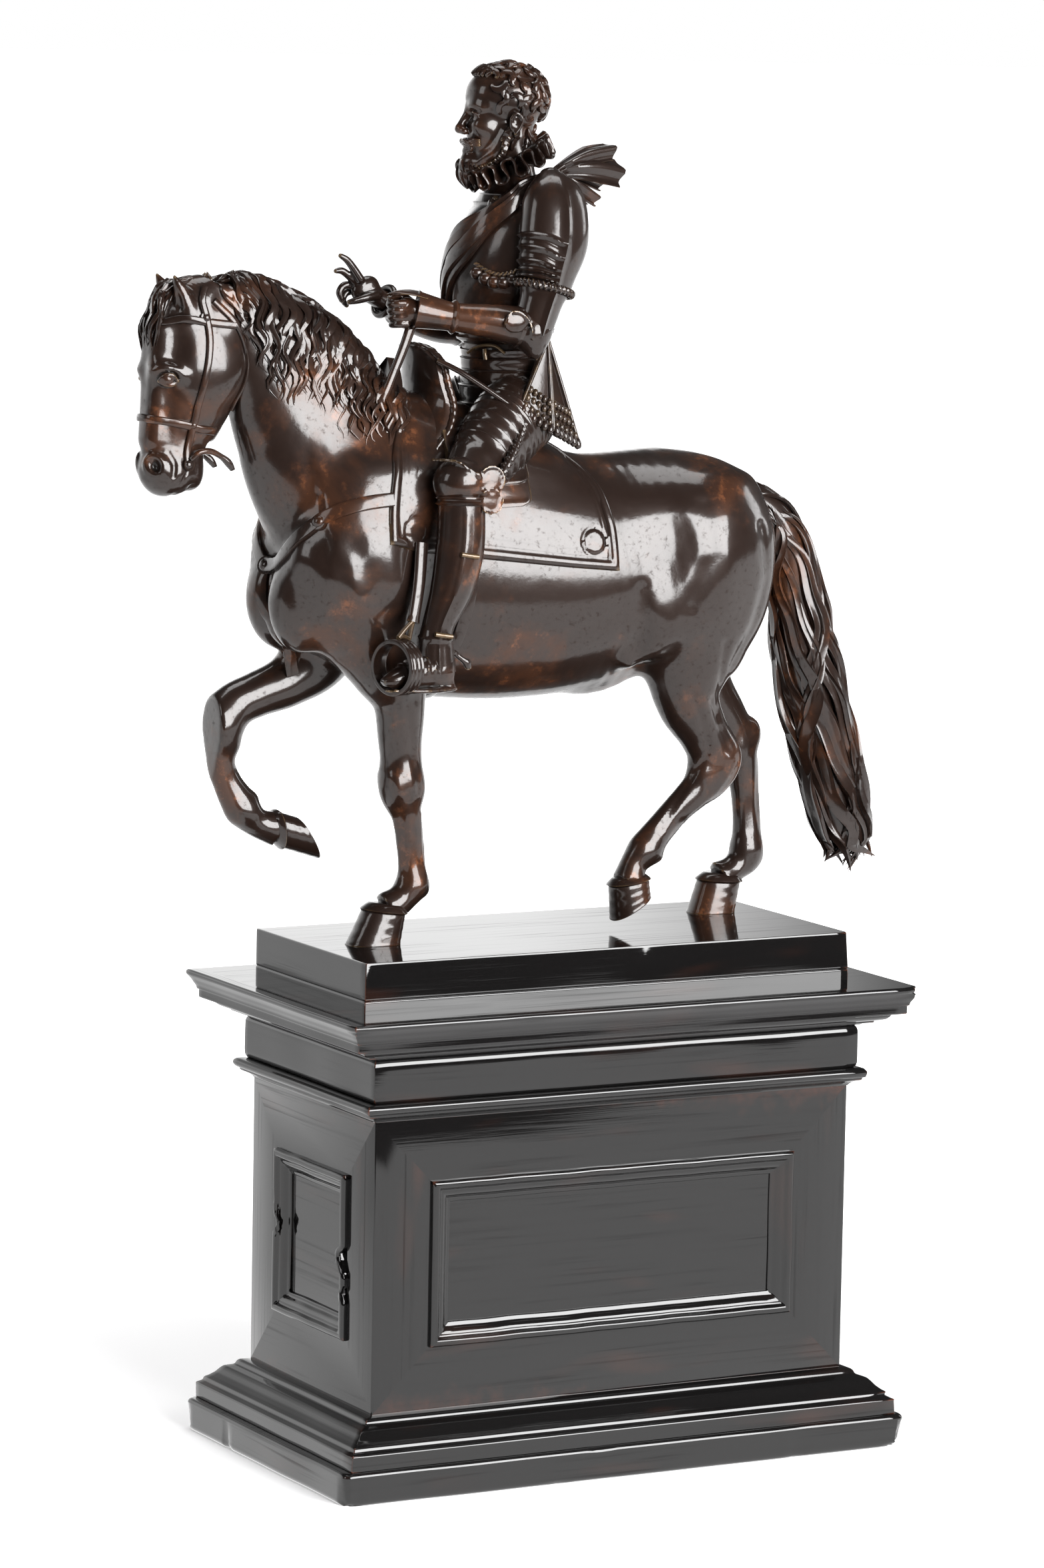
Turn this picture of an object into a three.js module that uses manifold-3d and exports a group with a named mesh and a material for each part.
// Bronze horse and rider on a moulded ebonised plinth, in millimetres, +Z up.
// The horse faces -X. The origin is at the middle of the plinth's underside.

import * as THREE from "three";
import { mergeVertices } from "three/addons/utils/BufferGeometryUtils.js";
import Module from "manifold-3d";

const wasm = await Module();
wasm.setup();

// Driving dimensions of the plinth

const slabHalf = { x: 76.6, y: 44.0 };
const slabHeight = 7.9;
const dieHalf = { x: 64.4, y: 32.8 };
const baseMouldingHeight = 10.7;
const baseMouldingReach = 10.0;
const dieHeight = 70.0;
const panelMargin = { long: 15.0, end: 13.6, rise: 15.0 };
const panelMouldingWidth = 5.6;
const panelMouldingProud = 1.4;
const panelDepth = 1.6;
const neckMouldingHeight = 4.6;
const neckMouldingReach = 4.0;
const friezeHalf = { x: 65.3, y: 34.3 };
const friezeHeight = 10.4;
const friezeSwell = 0.7;
const corniceReach = 11.6;
const corniceHeight = 10.4;
const blockHalf = { x: 66.0, y: 29.3 };
const blockHeight = 11.7;
const slabCorner = 2.0;

// Driving dimensions of the bronze: its height from the hooves to the crown, and where
// it stands across the block. Every station of the figures is drawn at drawnHeight.

const figureHeight = 209.4;
const figureAcross = 4.5;
const drawnHeight = 209.4;
const castingGap = 0.3;

// Levels that follow from the dimensions

const baseTop = slabHeight + baseMouldingHeight;
const dieTop = baseTop + dieHeight;
const neckTop = dieTop + neckMouldingHeight;
const friezeTop = neckTop + friezeHeight;
const corniceTop = friezeTop + corniceHeight;
const blockTop = corniceTop + blockHeight;
const figureScale = figureHeight / drawnHeight;

const FULL = 2 * Math.PI;
const Z = new THREE.Vector3(0, 0, 1);

// Finishes

const bronze = new THREE.MeshStandardMaterial({ color: 0x2b1c16, roughness: 0.28, metalness: 0.85 });
const ebonised = new THREE.MeshStandardMaterial({ color: 0x0d0c0c, roughness: 0.22, metalness: 0.0 });

// Solids

function toSolid(geometry) {
  const bare = geometry.index ? geometry.clone() : geometry;
  bare.deleteAttribute("normal");
  bare.deleteAttribute("uv");
  const merged = mergeVertices(bare, 1e-5);
  return new wasm.Manifold(new wasm.Mesh({
    numProp: 3,
    vertProperties: new Float32Array(merged.attributes.position.array),
    triVerts: new Uint32Array(merged.index.array),
  }));
}

function join(solids) {
  return solids.reduce((whole, piece) => whole.add(piece));
}

function toGeometry(solid) {
  const mesh = solid.getMesh();
  const geometry = new THREE.BufferGeometry();
  geometry.setAttribute("position", new THREE.BufferAttribute(mesh.vertProperties, 3));
  geometry.setIndex(new THREE.BufferAttribute(mesh.triVerts, 1));
  geometry.computeVertexNormals();
  return geometry;
}

function named(name, geometry, material) {
  const mesh = new THREE.Mesh(geometry, material);
  mesh.name = name;
  return mesh;
}

// Sections along a path: each ring is an ellipse with a centre and two half axes, and
// the skin over the rings is a capped tube. The shape says how far out a ring stands at
// an angle, as a share of its half axes.

function skin(rings, sides, shape = () => 1) {
  const geometry = new THREE.CylinderGeometry(1, 1, 1, sides, rings.length - 1);
  const place = geometry.attributes.position;
  for (let i = 0; i < place.count; i++) {
    const layer = Math.round((place.getY(i) + 0.5) * (rings.length - 1));
    const { c, u, v } = rings[layer];
    const step = Math.round(Math.atan2(place.getZ(i), place.getX(i)) / FULL * sides + sides) % sides;
    const out = shape(step / sides, layer / (rings.length - 1));
    const point = c.clone();
    point.addScaledVector(u, place.getX(i) * out).addScaledVector(v, place.getZ(i) * out);
    place.setXYZ(i, point.x, point.y, point.z);
  }
  return toSolid(geometry);
}

// A limb is a smooth path with an elliptical section at each station, written as
// [x, y, z, half width square to the path, half width along the side direction].

class Limb {
  constructor(stations, { side = [0, 1, 0], mirror = false } = {}) {
    const across = mirror ? -1 : 1;
    const points = stations.map(([x, y, z]) => new THREE.Vector3(x, across * y, z));
    const widths = stations.map(([, , , a, b]) => new THREE.Vector3(a, b, 0));
    this.path = new THREE.CatmullRomCurve3(points, false, "centripetal");
    this.size = new THREE.CatmullRomCurve3(widths, false, "centripetal");
    this.side = new THREE.Vector3(...side);
    this.bays = stations.length - 1;
  }

  ring(t, proud = 0) {
    const along = this.path.getTangent(t);
    const v = this.side.clone().addScaledVector(along, -this.side.dot(along)).normalize();
    const u = along.clone().cross(v);
    const size = this.size.getPoint(t);
    u.multiplyScalar(size.x + proud);
    v.multiplyScalar(size.y + proud);
    return { c: this.path.getPoint(t), u, v };
  }

  solid(sides, { steps = this.bays, proud = 0, shape } = {}) {
    const rings = [];
    for (let i = 0; i <= steps; i++) {
      rings.push(this.ring(i / steps, proud));
    }
    return skin(rings, sides, shape);
  }

  // The same tube with raised bands, each written as [from, to, how proud]. A band
  // steps up at its start and slopes back to the tube at its end.
  banded(sides, bands, steps = this.bays) {
    const edge = 0.004;
    const places = [];
    for (let i = 0; i <= steps; i++) {
      const t = i / steps;
      if (!bands.some(([from, to]) => t > from - 4 * edge && t < to + 4 * edge)) {
        places.push([t, 0]);
      }
    }
    for (const [from, to, proud] of bands) {
      places.push([from - edge, 0], [from, proud], [to, proud * 0.4]);
    }
    places.sort((one, other) => one[0] - other[0]);
    return skin(places.map(([t, proud]) => this.ring(t, proud)), sides);
  }

  // A point on the limb's surface, lifted off it
  surface(t, angle, lift = 0) {
    const { c, u, v } = this.ring(t, lift);
    return c.addScaledVector(u, Math.cos(angle)).addScaledVector(v, Math.sin(angle));
  }

  // A plate on the surface. Its top is given by a function of the two shares of its
  // sides, which returns a place along, an angle around and a lift.
  plate(top, columns, rows, rooted) {
    const geometry = new THREE.BoxGeometry(1, 1, 1, columns, rows, 1);
    const place = geometry.attributes.position;
    for (let i = 0; i < place.count; i++) {
      const [t, angle, lift] = top(place.getX(i) + 0.5, place.getY(i) + 0.5);
      const point = this.surface(t, angle, place.getZ(i) > 0 ? lift : -rooted);
      place.setXYZ(i, point.x, point.y, point.z);
    }
    return toSolid(geometry);
  }
}

function ball([x, y, z], [rx, ry, rz], around = 8, down = 6) {
  const geometry = new THREE.SphereGeometry(1, around, down);
  geometry.rotateX(Math.PI / 2);
  geometry.scale(rx, ry, rz).translate(x, y, z);
  return toSolid(geometry);
}

// A thin branch through points, thick in the middle and thin at its end
function branch(points, width, thickness, sides = 4, side = [0, 1, 0]) {
  const last = points.length - 1;
  const stations = points.map(([x, y, z], i) => {
    const share = i === last ? 0.2 : 0.75 + 0.25 * Math.sin(Math.PI * i / last);
    return [x, y, z, width * share, thickness * share];
  });
  return new Limb(stations, { side }).solid(sides);
}

function eachSide(make) {
  return [make(-1), make(1)];
}

// Horse. Stations are drawn from the horse's middle plane, above the hooves.

const trunkSides = 16;

const trunk = new Limb([
  [-72, 0, 87, 6, 6],
  [-69, 0, 86, 14, 12.5],
  [-62, 0, 88, 22.5, 16.5],
  [-53, 0, 92, 31, 17.8],
  [-43, 0, 94.5, 35.5, 17.8],
  [-30, 0, 91, 33.5, 18.8],
  [-12, 0, 87.8, 31.2, 20.3],
  [6, 0, 87.2, 28.8, 20.6],
  [31, 0, 91.5, 25, 18.5],
  [42, 0, 91.5, 22, 16],
  [50, 0, 90, 16, 11],
  [54.5, 0, 89, 8, 5],
]);

const neck = new Limb([
  [-50, 0, 104, 27, 15.5],
  [-60.5, 0, 115.5, 22, 13],
  [-66.5, 0, 126.2, 19.6, 10.5],
  [-72, 0, 135, 17.4, 8.8],
  [-78.2, 0, 142.2, 14.6, 7.6],
  [-84.5, 0, 147.8, 10.8, 6.8],
  [-91.5, 0, 151.5, 7.4, 6],
]);

const skull = new Limb([
  [-91.5, 0, 156.5, 4.5, 4.5],
  [-95, 0, 151.5, 8.8, 6.6],
  [-95.8, 0, 145, 11, 7.6],
  [-95.6, 0, 138, 11.3, 7.9],
  [-96.3, 0, 132, 10.8, 7.4],
  [-98, 0, 126.5, 9.6, 6.4],
  [-99.8, 0, 121.5, 8.4, 5.3],
  [-100.8, 0, 117, 7.7, 4.9],
  [-100.9, 0, 113.2, 7.4, 5.2],
  [-100.9, 0, 110.2, 5.8, 4.5],
  [-100.4, 0, 108.4, 3, 3],
]);

const legSides = 8;

// A hoof spreads under its coronet and is cut flat at the sole. Both are written as a
// centre, a half length and how the half length rises.
function hoof(coronet, sole, halfWidth) {
  const y = coronet[1];
  const ring = ([x, , z, half, rise], width) => ({
    c: new THREE.Vector3(x, y, z),
    u: new THREE.Vector3(half, 0, rise),
    v: new THREE.Vector3(0, width, 0),
  });
  const inside = ring(coronet, halfWidth * 0.8);
  inside.c.addScaledVector(ring(sole, 0).c.sub(inside.c), -0.16);
  inside.u.multiplyScalar(0.86);
  return skin([inside, ring(coronet, halfWidth * 0.93), ring(sole, halfWidth)], legSides);
}

function foreLegPlanted() {
  return join([
    new Limb([
      [-55, -8, 112, 9, 7],
      [-57.5, -9.4, 94, 13.5, 9.2],
      [-54.5, -9.4, 78, 12.6, 9],
      [-48.8, -9.2, 66, 9.2, 8],
      [-45.3, -8.6, 58, 6.3, 5.9],
      [-44.4, -7.8, 48, 5.3, 4.9],
      [-43.5, -7.5, 39, 4.6, 4.3],
      [-43.2, -7.4, 34.5, 4.3, 4],
      [-42.2, -7.3, 29.5, 3.4, 3.2],
      [-41.2, -7.2, 20, 2.9, 2.8],
      [-40.4, -7.1, 13.8, 4, 3.4],
      [-42.6, -7.1, 10.8, 3.6, 3.4],
      [-47, -7, 8, 4.4, 4],
    ]).solid(legSides),
    hoof([-47.6, -7.1, 7.8, 5.5, -0.7], [-50.4, -7.1, 0, 6.9, 0], 5.2),
  ]);
}

function foreLegRaised() {
  return join([
    new Limb([
      [-55, 8, 112, 9, 7],
      [-57.5, 9.4, 94, 13.5, 9.2],
      [-55.5, 9.8, 78, 12.2, 9.4],
      [-58.5, 9.6, 67.5, 8.6, 8],
      [-66, 9.4, 61.8, 6.3, 6.2],
      [-74, 9.2, 59, 5.5, 5.2],
      [-81, 9, 56.2, 5.3, 4.9],
      [-85.2, 9, 51.5, 5.1, 4.7],
      [-84.9, 9, 46.5, 4.4, 4.2],
      [-82.6, 9, 39.5, 3.3, 3.1],
      [-78, 9, 32, 4.2, 3.5],
      [-73.6, 9, 28, 3.5, 3.3],
      [-68.6, 9, 26.5, 4.4, 4],
    ]).solid(legSides),
    hoof([-68.2, 9, 26.5, -0.6, 4.7], [-60.9, 9, 24.2, -3.1, 5.3], 4.9),
  ]);
}

function hindLegStepping() {
  return join([
    new Limb([
      [35, -6, 106, 15, 8],
      [36.5, -8.6, 92, 19.3, 11.6],
      [36.8, -9, 79, 16.8, 10.8],
      [35.3, -9, 70, 13.8, 9.4],
      [33.3, -8.9, 62, 11, 8],
      [34, -8.7, 55, 8.3, 6.6],
      [38.6, -8.2, 47.2, 6.5, 5.1],
      [42.8, -7.8, 40, 6.4, 4.3],
      [40.8, -7.6, 36, 5.6, 4],
      [36.6, -7.5, 32.4, 4.4, 3.6],
      [28.8, -7.3, 25.7, 3.4, 3],
      [23.6, -7.2, 19.3, 4.3, 3.5],
      [20.2, -7.1, 15.3, 3.4, 3.3],
      [19.2, -7.1, 11.4, 4.6, 4.2],
    ]).solid(legSides),
    hoof([19.2, -7.1, 11.4, 5.3, 0.8], [19.8, -7.1, 5, 5, 3.05], 4.7),
  ]);
}

function hindLegPlanted() {
  return join([
    new Limb([
      [35, 6, 106, 15, 8],
      [36.5, 8.6, 92, 19.3, 11.6],
      [38.5, 9, 79, 16.5, 10.8],
      [41, 9, 69.5, 12.3, 9],
      [44.6, 8.8, 61.5, 9.4, 7.4],
      [49.2, 8.5, 54.5, 7.2, 6],
      [54, 8.3, 48.5, 5.9, 4.9],
      [57.2, 8.2, 43, 5.3, 4.2],
      [58.8, 8.1, 37.5, 4.2, 3.7],
      [60.1, 8.1, 26.5, 3.1, 2.9],
      [61, 8, 17.5, 3.8, 3.3],
      [61, 8, 13.4, 4.2, 3.5],
      [57.6, 8, 10.6, 3.5, 3.3],
      [53.6, 8, 8.2, 4.6, 4.2],
    ]).solid(legSides),
    hoof([53.4, 8, 7.9, 5.8, -0.4], [51.2, 8, 0, 6.2, 0], 5),
  ]);
}

function headAndBridle() {
  const browband = [0.195, 0.225, 0.7];
  const noseband = [0.575, 0.6, 0.7];
  const features = eachSide((s) => join([
    ball([-105, s * 5.2, 135.6], [2.3, 2, 1.7], 5, 3),
    ball([-106, s * 3.4, 115], [2.2, 1.8, 2.4], 5, 3),
    branch([[-101.2, s * 3.2, 149], [-102.4, s * 4.2, 155], [-103.6, s * 4.6, 159]], 3, 2),
    branch([[-95.5, s * 6.2, 149], [-96.6, s * 7.2, 134], [-98.4, s * 4.4, 117]], 1.2, 1.1),
    branch([[-98.4, s * 4.4, 117.6], [-93, s * 6, 117.6], [-86, s * 6.2, 112.8]], 1.7, 1.5),
  ]));
  const forelock = [-1.8, 2.2].map((y) => branch(
    [[-94, y * 0.6, 157.6], [-103, y, 153.6], [-108.2, y, 146], [-106, y, 134]], 2.6, 1.7));
  const tuft = branch([[-93.4, 0, 155], [-93.2, 0, 158], [-92.8, 0, 161]], 1.7, 1.7);
  return join([skull.banded(10, [browband, noseband], 8), ...features, ...forelock, tuft]);
}

// The mane lies over the crest: waving locks, long on the left and short on the right
function mane() {
  const locks = 9;
  const reach = { left: 1.5, right: 1.05 };
  const sweep = 0.16;
  return neck.plate((up, around) => {
    const ridge = 0.5 - 0.5 * Math.cos(FULL * locks * up);
    const over = 2 * around - 1;
    const down = Math.abs(over);
    const tip = 1 - 0.22 * (1 - ridge) * down - 0.1 * Math.sin(37 * up) * down;
    const wave = 0.014 * Math.sin(8 * down + 9 * up) * down;
    const t = Math.max(0.02 + 0.94 * up - sweep * down * down * up + wave, 0.01);
    const angle = Math.PI + over * (over > 0 ? reach.left : reach.right) * tip;
    return [t, angle, 0.2 + 2 * ridge * (1 - 0.3 * down)];
  }, 2 * locks, 6, 2);
}

function tail() {
  const locks = 6;
  const fluted = (turn, down) => {
    const twist = 0.05 * Math.sin(9 * down);
    return 1 + 0.16 * Math.cos(FULL * (locks * turn + twist));
  };
  const core = new Limb([
    [49, 0, 104.5, 4.6, 4],
    [56, 0, 103, 4.8, 4.4],
    [62.3, 0, 98.3, 5.2, 4.8],
    [66.2, 0, 90.5, 5.7, 5.2],
    [68.6, 0, 80, 6.4, 5.4],
    [71, 0, 70, 7.3, 5.6],
    [73.5, 0, 59, 7.7, 5.6],
    [76, 0, 48, 7.7, 5.4],
    [79.5, 0, 36, 7.3, 5],
    [83, 0, 25, 6.8, 4.5],
    [85.4, 0, 17, 5.8, 3.6],
  ]);
  const tips = [[79.4, -1, 12.4], [84.6, 1.2, 9.6], [90.6, -1, 12.6]];
  const strands = tips.map(([x, y, z], i) => {
    const root = [81.6 + 3.2 * i, y, 23];
    return branch([root, [(root[0] + x) / 2 + 0.6, y, 18], [x, y, z]], 3.2, 2.8);
  });
  return join([core.solid(2 * locks, { shape: fluted }), ...strands]);
}

// Saddle, saddlecloth and straps. The ease widens them, to cut the rider clear of them.

// The cloth hangs to the flanks with a raised border, rises to a low seat behind the bow
// and stands up in a peak over the withers.
function saddlecloth(ease) {
  const thick = 1.5;
  const border = 0.8;
  const columns = [0, 0.06, 0.07, 0.25, 0.5, 0.75, 0.93, 0.94, 1];
  const rows = [0, 0.045, 0.055, 0.2, 0.36, 0.5, 0.64, 0.8, 0.945, 0.955, 1];
  const drop = 1.48;
  const back = 0.644;
  const frontAt = { top: 0.336, side: 0.268 };
  const peak = 7.4;
  const seat = { rise: 2.6, end: 0.8 };
  return trunk.plate((s, r) => {
    const column = Math.round(s * (columns.length - 1));
    const row = Math.round(r * (rows.length - 1));
    const angle = drop * (2 * rows[row] - 1);
    const onTop = Math.max(Math.cos(1.9 * angle), 0);
    const front = frontAt.side + (frontAt.top - frontAt.side) * Math.cos(angle) ** 2;
    const onBorder = column < 2 || column > columns.length - 3 || row < 2 || row > rows.length - 3;
    const rise = column < 3 ? peak * (1 - 0.3 * column) : columns[column] < seat.end ? seat.rise : 0;
    const hump = onTop * rise;
    return [front + (back - front) * columns[column], angle, thick + ease + (onBorder ? border : 0) + hump];
  }, columns.length - 1, rows.length - 1, 3);
}

// The bow is a tall plate, curved round the rider's belly and thickest at its middle
function saddleBow(ease) {
  const across = 8;
  const halfWidth = { foot: 15.4, top: 9.4 };
  const thick = 1.8;
  const rings = [];
  for (let i = 0; i <= across; i++) {
    const s = 2 * i / across - 1;
    const foot = new THREE.Vector3(-43 + 5 * s * s, halfWidth.foot * s, 118 - 3 * s * s);
    const top = new THREE.Vector3(-36.6 + 2.4 * s * s, halfWidth.top * s, 142 - 3.4 * s ** 4);
    const u = top.clone().sub(foot).multiplyScalar(0.5).addScaledVector(Z, ease);
    rings.push({ c: foot.clone().lerp(top, 0.5), u, v: new THREE.Vector3(-thick - ease, 0, 0) });
  }
  return skin(rings, 6);
}

function saddle(ease) {
  return join([saddlecloth(ease), saddleBow(ease)]);
}

function breastStrap() {
  const places = [[0.34, -0.62], [0.24, -0.52], [0.15, -0.28], [0.075, 0.04]];
  const halves = eachSide((s) => {
    const stations = places.map(([t, tilt]) => {
      const { x, y, z } = trunk.surface(t, s * (Math.PI / 2 + tilt), 0.6);
      return [x, y, z, 2, 1.2];
    });
    return new Limb(stations).solid(4);
  });
  const drop = new Limb([[-72.6, 0, 90, 1, 1.6], [-74, 0, 80, 1, 1.5], [-70, 0, 70, 1, 1.5]]).solid(4);
  return join([...halves, drop]);
}

function buildHorse() {
  return join([
    trunk.solid(trunkSides),
    neck.solid(12),
    headAndBridle(),
    foreLegPlanted(),
    foreLegRaised(),
    hindLegStepping(),
    hindLegPlanted(),
    mane(),
    tail(),
    saddle(0),
    breastStrap(),
    ball([13, 0, 62.5], [8, 3.4, 4], 7, 4),
  ]);
}

// Rider

const torso = new Limb([
  [-13.5, 0, 119, 10.5, 12],
  [-13.5, 0, 130, 10.8, 11.8],
  [-13.6, 0, 138, 10.2, 11],
  [-13.8, 0, 143, 10, 11],
  [-14, 0, 150, 10.4, 13],
  [-13.8, 0, 158, 10.6, 14.8],
  [-13.2, 0, 166, 10.4, 16],
  [-12.6, 0, 172, 9, 15.2],
  [-12.4, 0, 177, 6.8, 11.4],
  [-12.6, 0, 181, 5.4, 7],
  [-13.6, 0, 188, 4.8, 5.4],
]);

const leftArm = [
  [-9.4, -12, 182, 3.4, 3.4],
  [-9.6, -15, 177.6, 7.8, 5.8],
  [-10.4, -16.8, 168, 8.8, 6.6],
  [-12.4, -17.6, 160, 7.3, 6.1],
  [-13.2, -17.9, 156.4, 6.6, 5.7],
  [-14, -18, 153.6, 5.1, 4.9],
  [-15.8, -18.1, 148, 4.9, 4.7],
  [-16.6, -18.1, 144, 4.3, 4.2],
];

// The right shoulder is held lower and further back
const rightArm = [
  [-6.4, 11.6, 179.5, 3.4, 3.4],
  [-6.6, 14.6, 175, 7.2, 5.8],
  [-8, 16.6, 167, 7.8, 6.4],
  [-10, 17.4, 160, 7.2, 6.1],
  [-11.2, 17.7, 156.4, 6.5, 5.7],
  [-12.4, 18.2, 153.6, 5, 4.8],
  [-14, 18.7, 148, 4.7, 4.6],
  [-14.8, 18.8, 144, 4.3, 4.2],
];

// The upper arm has lames, a corded edge and a pointed guard at the elbow
function upperArm(stations) {
  const [x, y, z] = stations[stations.length - 1];
  const arm = new Limb(stations);
  const lames = [0, 1].map((i) => [0.36 + 0.095 * i, 0.44 + 0.095 * i, 0.8]);
  const elbow = ball([x, y, z + 2], [5.4, 5.2, 5.2], 7, 5);
  const guard = branch([[x, y, z + 2], [x + 0.2, y, z - 2], [x + 0.4, y, z - 4.6]], 4.4, 3.6);
  return join([arm.banded(8, [...lames, [0.555, 0.6, 1.1]]), elbow, guard]);
}

function leftForearm() {
  const forearm = new Limb([
    [-15.4, -17.8, 146.3, 4.4, 4.3], [-20.6, -17.2, 147.4, 4.6, 4.5], [-27, -15.6, 148.4, 3.9, 4],
    [-34, -13.4, 148.7, 3.3, 3.4], [-40.5, -11, 149.6, 4.4, 4.2], [-43.5, -9.8, 150.4, 3, 2.8],
  ]);
  const fist = ball([-44.8, -9, 149.4], [4.2, 4, 3.6], 7, 5);
  const knuckles = [0, 1, 2].map((i) => ball([-47.4 + 0.8 * i, -11 + 0.5 * i, 151.6 - 2.2 * i],
    [2, 2, 1.4], 5, 3));
  const rein = new Limb([
    [-43.6, -8.6, 147, 1.2, 0.8], [-46.6, -9.2, 141, 1.2, 0.7], [-49.6, -10, 134.6, 1.1, 0.7],
  ]).solid(4);
  return join([forearm.banded(8, [[0.5, 0.56, 0.5]]), fist, ...knuckles, rein]);
}

function rightForearm() {
  const forearm = new Limb([
    [-13, 18.4, 146, 4.4, 4.3], [-20, 18.2, 145.6, 4.6, 4.5], [-28, 17, 147, 4, 4],
    [-36, 15.2, 150.2, 3.2, 3.2], [-40, 14.5, 152, 2.9, 2.8],
  ]);
  const palm = branch([[-39.5, 14.5, 152], [-43.5, 14.2, 154.2], [-48.5, 14, 156.6]], 3.3, 2.4, 5);
  const digits = [
    [[-46, 13, 157], [-48.5, 12.8, 160], [-50.8, 12.6, 162.8]],
    [[-46.5, 14.4, 156.4], [-49.5, 14.2, 158.2], [-51.4, 14, 160.8]],
    [[-46.8, 15.6, 155.6], [-50, 15.6, 156], [-51.8, 15.4, 157.6]],
    [[-46.2, 16, 154.6], [-49.6, 16.2, 153.8], [-50.8, 16, 154.8]],
    [[-42.5, 12.6, 153.2], [-46.6, 11.6, 152], [-49.1, 11.8, 150.6]],
  ].map((joints) => branch(joints, 1.3, 1.2, 4));
  return join([forearm.banded(8, [[0.76, 0.82, 0.7]]), palm, ...digits]);
}

const thighStations = [
  [-13, -8, 125, 9.5, 7.8],
  [-21, -13, 122, 9.4, 7.8],
  [-28.5, -18.2, 117, 8.2, 7],
  [-34, -22, 112, 7, 6.2],
  [-36, -23.4, 108, 6.3, 5.8],
];

const greaveStations = [
  [-36.2, -23.4, 110.5, 5.4, 5.2],
  [-36.8, -24.2, 104.5, 5.6, 5.1],
  [-37.5, -25, 94, 5.9, 5.2],
  [-39, -24.6, 85.5, 5.4, 4.8],
  [-42.4, -23.9, 76, 4.1, 3.6],
  [-43.8, -24, 71, 4.3, 3.5],
  [-42.6, -24, 65, 4.4, 3.3],
];

// Lames run down the thigh to the knee cap, which has a fan at its outer side
function legInArmour(mirror) {
  const s = mirror ? 1 : -1;
  const count = 4;
  const lames = [];
  for (let i = 0; i < count; i++) {
    const from = 0.12 + 0.18 * i;
    lames.push([from, from + 0.16, 1.2]);
  }
  const thigh = new Limb(thighStations, { mirror }).banded(8, lames, 1);
  const greave = new Limb(greaveStations, { mirror }).banded(8, [[0.12, 0.17, 0.7], [0.7, 0.75, 0.6]]);
  const knee = ball([-36.6, s * 23.6, 110.6], [7, 5.9, 6.6], 8, 5);
  const fan = ball([-28.6, s * 26, 109.5], [4.6, 2.4, 5], 6, 3);
  const foot = new Limb([
    [-39, -23.8, 66, 3.6, 3.2], [-43, -24, 66.4, 4, 3.6], [-48, -24.4, 66.6, 3.9, 3.7],
    [-52.6, -24.7, 65.8, 2.6, 3.2], [-57, -25, 64.8, 1.2, 2.2],
  ], { mirror }).solid(6);
  const spur = branch([[-41, s * 23.4, 74], [-35, s * 23.4, 71], [-31.5, s * 23.4, 68.6]], 1.5, 1.3);
  return join([thigh, greave, knee, fan, foot, spur]);
}

// The head is drawn about its own middle and turned a little to the rider's right
const headPlace = [-14.2, 0.6, 197.4];
const headTurnDegrees = -24;

// Short curls cover the skull behind the brow, and a trimmed beard comes to a point
function riderHead() {
  const sides = 14;
  const curls = (turn, up) => {
    const fromFace = Math.min(turn, 1 - turn);
    const curled = up > 0.82 || (up > 0.42 && fromFace > 0.17);
    const bearded = up < 0.36 && fromFace < 0.27;
    const lock = 0.06 * Math.cos(Math.PI * (sides * turn + 8 * up));
    return 1 + (curled ? 0.1 + lock : bearded ? 0.06 + lock : 0);
  };
  const shape = new Limb([
    [-6.6, 0, -19, 1.4, 1.4],
    [-5.8, 0, -15.6, 4.6, 4],
    [-4, 0, -11.5, 7, 6.2],
    [-1.9, 0, -6.4, 8.6, 7.5],
    [-0.9, 0, -1.6, 9.2, 7.9],
    [-0.2, 0, 3, 9.4, 7.9],
    [0.2, 0, 6.6, 8.4, 7.2],
    [0.5, 0, 9.6, 6.4, 5.6],
    [0.6, 0, 11.6, 3.2, 2.8],
  ]).solid(sides, { shape: curls });
  const nose = new Limb([
    [-8.6, 0, 0.8, 0.9, 0.9], [-11, 0, -4, 1.4, 1.2], [-9.8, 0, -6.6, 1.2, 1.6],
  ]).solid(4);
  const brow = ball([-7.8, 0, 1.4], [2.2, 5.2, 1.2], 6, 3);
  const ears = eachSide((s) => ball([0.8, s * 7.8, -3.2], [1.6, 1.4, 2.6], 5, 3));
  const moustache = ball([-9, 0, -8.4], [1.9, 4, 1], 6, 3);
  return join([shape, nose, brow, ...ears, moustache])
    .rotate([0, 0, headTurnDegrees])
    .translate(headPlace);
}

// The ruff is a ring of figure-of-eight folds, low in front and high behind
function ruff() {
  const folds = 13;
  const radius = { inner: 4.6, outer: 11 };
  const half = 1.4;
  const swing = 1.7;
  const profile = [[radius.inner, -half], [radius.outer, -half], [radius.outer, half], [radius.inner, half],
    [radius.inner, -half]].map(([r, z]) => new THREE.Vector2(r, z));
  const geometry = new THREE.LatheGeometry(profile, 2 * folds);
  const place = geometry.attributes.position;
  for (let i = 0; i < place.count; i++) {
    const step = Math.round(Math.atan2(place.getZ(i), place.getX(i)) / FULL * 2 * folds + 2 * folds) % 2;
    const outside = Math.hypot(place.getX(i), place.getZ(i)) > (radius.inner + radius.outer) / 2;
    const fold = (outside ? 1 : 0.3) * (2 * step - 1);
    place.setY(i, place.getY(i) + swing * fold);
  }
  geometry.rotateX(Math.PI / 2).rotateY(THREE.MathUtils.degToRad(-26));
  geometry.rotateZ(THREE.MathUtils.degToRad(headTurnDegrees) / 2).translate(-13.6, 0.3, 184.4);
  return toSolid(geometry);
}

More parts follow.
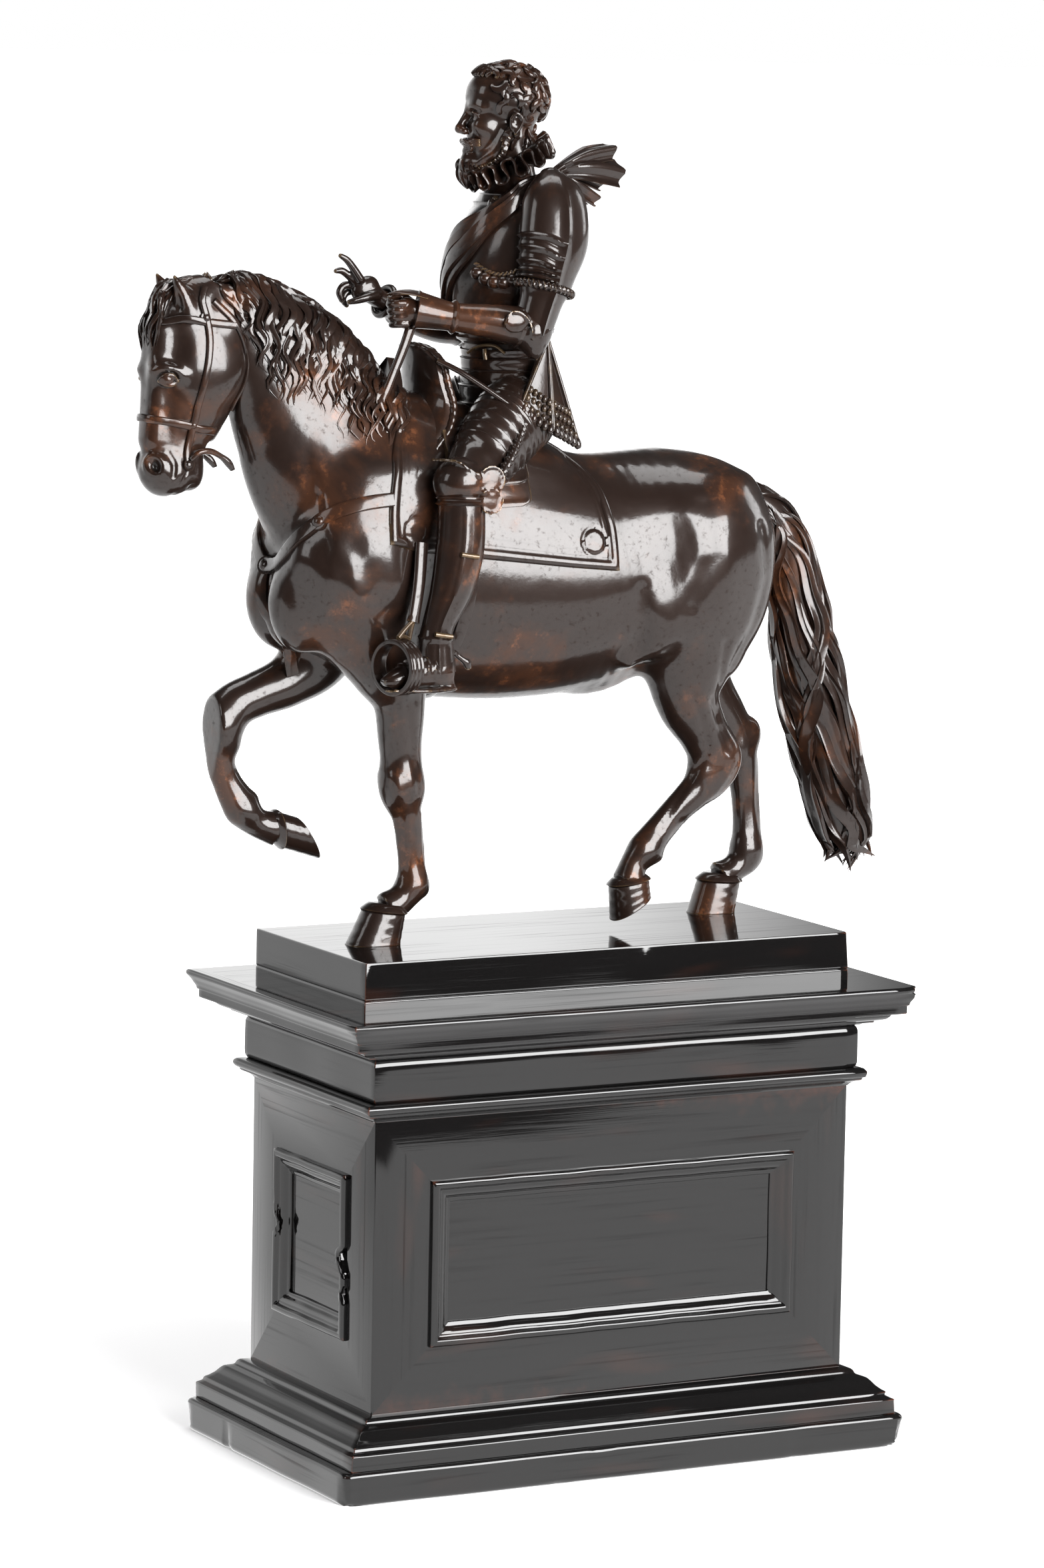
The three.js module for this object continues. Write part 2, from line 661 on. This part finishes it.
// A sash crosses from the left shoulder to the right hip, tied in a bow behind the shoulder
function sash() {
  const route = [[0.84, -1.2], [0.74, -0.75], [0.62, -0.25], [0.5, 0.35], [0.4, 0.95], [0.33, 1.6]];
  const folds = [-0.025, 0.025].map((shift) => {
    const stations = route.map(([t, angle]) => {
      const { x, y, z } = torso.surface(t + shift, angle, 0.2);
      return [x, y, z, 2, 2];
    });
    return new Limb(stations).solid(4);
  });
  const knot = ball([-8, -11.6, 182.4], [3.2, 2.8, 2.6], 7, 5);
  const loops = [
    [[2, -10.6, 187], [10.5, -9.6, 189.2], 2.4],
    [[3, -10.2, 184], [12.6, -9, 183.6], 2.8],
    [[1, -11, 180.6], [8.4, -10, 179.6], 2.6],
    [[-1, -12, 178], [3.6, -11.6, 174.4], 2.4],
  ].map(([middle, tip, width]) => new Limb([
    [-7, -11.5, 182.6, 1.1, 1], [...middle, width * 0.9, 1.3], [...tip, width, 1.5],
  ]).solid(5));
  return join([...folds, knot, ...loops]);
}

// The sword hanger spreads behind the left hip, with rolled loops at its foot
function hanger() {
  const loops = 5;
  const web = new Limb([
    [-7.6, -10.4, 143.4, 1.8, 1.4], [-8.6, -14, 134, 4.2, 1.5], [-10, -16, 125, 7, 1.9],
  ]).solid(6);
  const rolls = [];
  for (let i = 0; i < loops; i++) {
    const x = -18 + 3.4 * i;
    rolls.push(branch([[x + 1.4, -15.4, 129.5], [x, -17.8, 124], [x - 0.4, -18, 119.5]], 1.7, 1.8));
  }
  return join([web, ...rolls]);
}

function cuirass() {
  const bands = [[0.1, 0.16, 1.1], [0.19, 0.25, 0.8], [0.28, 0.32, 0.9], [0.78, 0.85, 1.4]];
  const body = torso.banded(12, bands, 8);
  const beads = [];
  for (let i = 0; i < 4; i++) {
    const share = i / 3;
    const { x, y, z } = torso.surface(0.52 - 0.025 * Math.sin(Math.PI * share), 0.9 * share - 1.3, 0);
    beads.push(ball([x, y, z], [2, 2, 1.3], 5, 3));
  }
  return join([body, ...beads]);
}

function buildRider() {
  return join([
    cuirass(),
    upperArm(leftArm),
    upperArm(rightArm),
    leftForearm(),
    rightForearm(),
    legInArmour(false),
    legInArmour(true),
    riderHead(),
    ruff(),
    sash(),
    hanger(),
  ]);
}

// A broad stirrup ring hangs from its leather round the toe
function stirrup(mirror) {
  const s = mirror ? 1 : -1;
  const inner = 5.7;
  const outer = 6.7;
  const half = 2.2;
  const toeOutDegrees = 20;
  const groove = 0.5;
  const profile = [
    [inner, -half], [outer, -half], [outer - groove, 0], [outer, half], [inner, half], [inner, -half],
  ];
  const ring = new THREE.LatheGeometry(profile.map(([r, z]) => new THREE.Vector2(r, z)), 14);
  ring.rotateZ(Math.PI / 2).rotateZ(THREE.MathUtils.degToRad(s * -toeOutDegrees));
  ring.translate(-53, s * 24.7, 68);
  const leather = new Limb([
    [-47.6, s * 21, 96, 1.7, 0.8], [-49, s * 22.4, 86, 1.6, 0.8], [-51, s * 23.8, 78, 1.5, 0.8],
    [-52, s * 24.5, 74, 1.9, 1],
  ]).solid(5);
  return join([toSolid(ring), leather]);
}

// The castings, each kept clear of the one it sits on

const horseSolid = buildHorse();
const riderSolid = buildRider()
  .subtract(trunk.solid(trunkSides, { proud: castingGap }))
  .subtract(saddle(castingGap));
const stirrups = [false, true].map((mirror) => stirrup(mirror).subtract(saddle(castingGap)));

function stand(name, solid) {
  const placed = solid.scale(figureScale).translate([0, figureAcross, blockTop]);
  return named(name, toGeometry(placed), bronze);
}

// Plinth: every course is a stack of rectangles, written as [reach, rise] and mitred at
// the corners, or rounded by a small arc.

function course(profile, half, { corner = 0, arc = 0 } = {}) {
  const sides = 4 * (arc + 1);
  const geometry = new THREE.CylinderGeometry(1, 1, 1, sides, profile.length - 1);
  const place = geometry.attributes.position;
  for (let i = 0; i < place.count; i++) {
    const [reach, z] = profile[Math.round((place.getY(i) + 0.5) * (profile.length - 1))];
    const onAxis = Math.hypot(place.getX(i), place.getZ(i)) < 0.5;
    const step = Math.round(Math.atan2(-place.getZ(i), place.getX(i)) / FULL * sides + sides) % sides;
    const quarter = Math.floor(step / (arc + 1));
    const angle = (quarter + (arc ? (step % (arc + 1)) / arc : 0.5)) * Math.PI / 2;
    const right = quarter === 0 || quarter === 3 ? 1 : -1;
    const back = quarter < 2 ? 1 : -1;
    const x = right * (half.x + reach - corner) + corner * Math.cos(angle);
    const y = back * (half.y + reach - corner) + corner * Math.sin(angle);
    place.setXYZ(i, onAxis ? 0 : x, onAxis ? 0 : y, z);
  }
  return toSolid(geometry);
}

function raised(profile, level) {
  return profile.map(([reach, rise]) => [reach, level + rise]);
}

function wood(name, solid) {
  return named(`plinth_${name}`, toGeometry(solid), ebonised);
}

function footSlab() {
  const worn = 0.6;
  const profile = [[-worn, 0], [0, worn], [0, slabHeight - worn], [-worn, slabHeight]];
  return wood("foot_slab", course(profile, slabHalf, { corner: slabCorner, arc: 2 }));
}

function baseMoulding() {
  const out = baseMouldingReach;
  const profile = [
    [out, 0], [out, 3.3], [out - 0.8, 4], [out - 1.4, 4.3], [out - 1.5, 5.2], [out - 3.5, 6.9],
    [out - 5.1, 8.4], [out - 7, 9.1], [2.5, 9.3], [2.3, 10.2], [0.5, baseMouldingHeight],
  ];
  return wood("base_moulding", course(raised(profile, slabHeight), dieHalf));
}

// The die has a sunk field on each face, and a mitred moulding lies round each field
const dieFaces = [
  { name: "front", half: dieHalf.x - panelMargin.long, out: dieHalf.y, turn: 0 },
  { name: "right", half: dieHalf.y - panelMargin.end, out: dieHalf.x, turn: 90 },
  { name: "back", half: dieHalf.x - panelMargin.long, out: dieHalf.y, turn: 180 },
  { name: "left", half: dieHalf.y - panelMargin.end, out: dieHalf.x, turn: 270 },
];
const panelRise = dieHeight / 2 - panelMargin.rise;

function onFace(solid, { out, turn }) {
  return solid.rotate([90, 0, 0]).translate([0, -out, baseTop + dieHeight / 2]).rotate([0, 0, turn]);
}

function die() {
  const block = course([[0, baseTop], [0, dieTop]], dieHalf);
  const fields = dieFaces.map((face) => onFace(toSolid(
    new THREE.BoxGeometry(2 * face.half, 2 * panelRise, 2 * panelDepth)), face));
  return wood("die", fields.reduce((rest, field) => rest.subtract(field), block));
}

function panelMoulding(face) {
  const fit = 0.02;
  const profile = [
    [0, -panelDepth], [0, panelMouldingProud * 0.6], [-0.6, panelMouldingProud],
    [-1.6, panelMouldingProud], [-2.4, panelMouldingProud * 0.4], [-3.6, 0],
    [-4.6, -panelDepth * 0.5], [-panelMouldingWidth, -panelDepth * 0.6], [-panelMouldingWidth, -panelDepth],
    [0, -panelDepth],
  ];
  const middle = 20;
  const frame = new THREE.LatheGeometry(profile.map(([reach, z]) => new THREE.Vector2(middle + reach, z)),
    4, Math.PI / 4);
  const place = frame.attributes.position;
  for (let i = 0; i < place.count; i++) {
    const reach = Math.hypot(place.getX(i), place.getZ(i)) - middle - fit;
    place.setX(i, Math.sign(place.getX(i)) * (face.half + reach));
    place.setZ(i, Math.sign(place.getZ(i)) * (panelRise + reach));
  }
  frame.rotateX(Math.PI / 2);
  return wood(`panel_moulding_${face.name}`, onFace(toSolid(frame), face));
}

function neckMoulding() {
  const out = neckMouldingReach;
  const profile = [
    [0.2, 0], [1.4, 1], [1.6, 1.8], [out - 1.2, 2], [out - 0.2, 2.6], [out, 3.2], [out - 0.3, 3.9],
    [out - 1.4, 4.4], [1, neckMouldingHeight],
  ];
  return wood("neck_moulding", course(raised(profile, dieTop), dieHalf));
}

function frieze() {
  const steps = 6;
  const profile = [];
  for (let i = 0; i <= steps; i++) {
    profile.push([friezeSwell * Math.sin(Math.PI * i / steps), friezeHeight * i / steps]);
  }
  return wood("frieze", course(raised(profile, neckTop), friezeHalf));
}

function cornice() {
  const out = corniceReach;
  const profile = [
    [0.2, 0], [1.4, 0.6], [3.4, 0.9], [3.4, 1.5], [4.8, 1.8], [5.8, 2.5], [6.4, 3.4], [out - 2.4, 3.6],
    [out - 2.4, 5.6], [out - 1.9, 5.9], [out - 1.6, 7], [out - 1, 8.1], [out, 9.2], [out, 10],
    [out - 0.4, corniceHeight],
  ];
  return wood("cornice", course(raised(profile, friezeTop), friezeHalf));
}

function topBlock() {
  const worn = 0.4;
  return wood("top_block", course([[0, corniceTop], [0, blockTop - worn], [-worn, blockTop]], blockHalf));
}

// Assembly

const group = new THREE.Group();
group.add(footSlab(), baseMoulding(), die(), ...dieFaces.map(panelMoulding));
group.add(neckMoulding(), frieze(), cornice(), topBlock());
group.add(stand("horse", horseSolid), stand("rider", riderSolid));
group.add(stand("stirrup_left", stirrups[0]), stand("stirrup_right", stirrups[1]));

export default group;
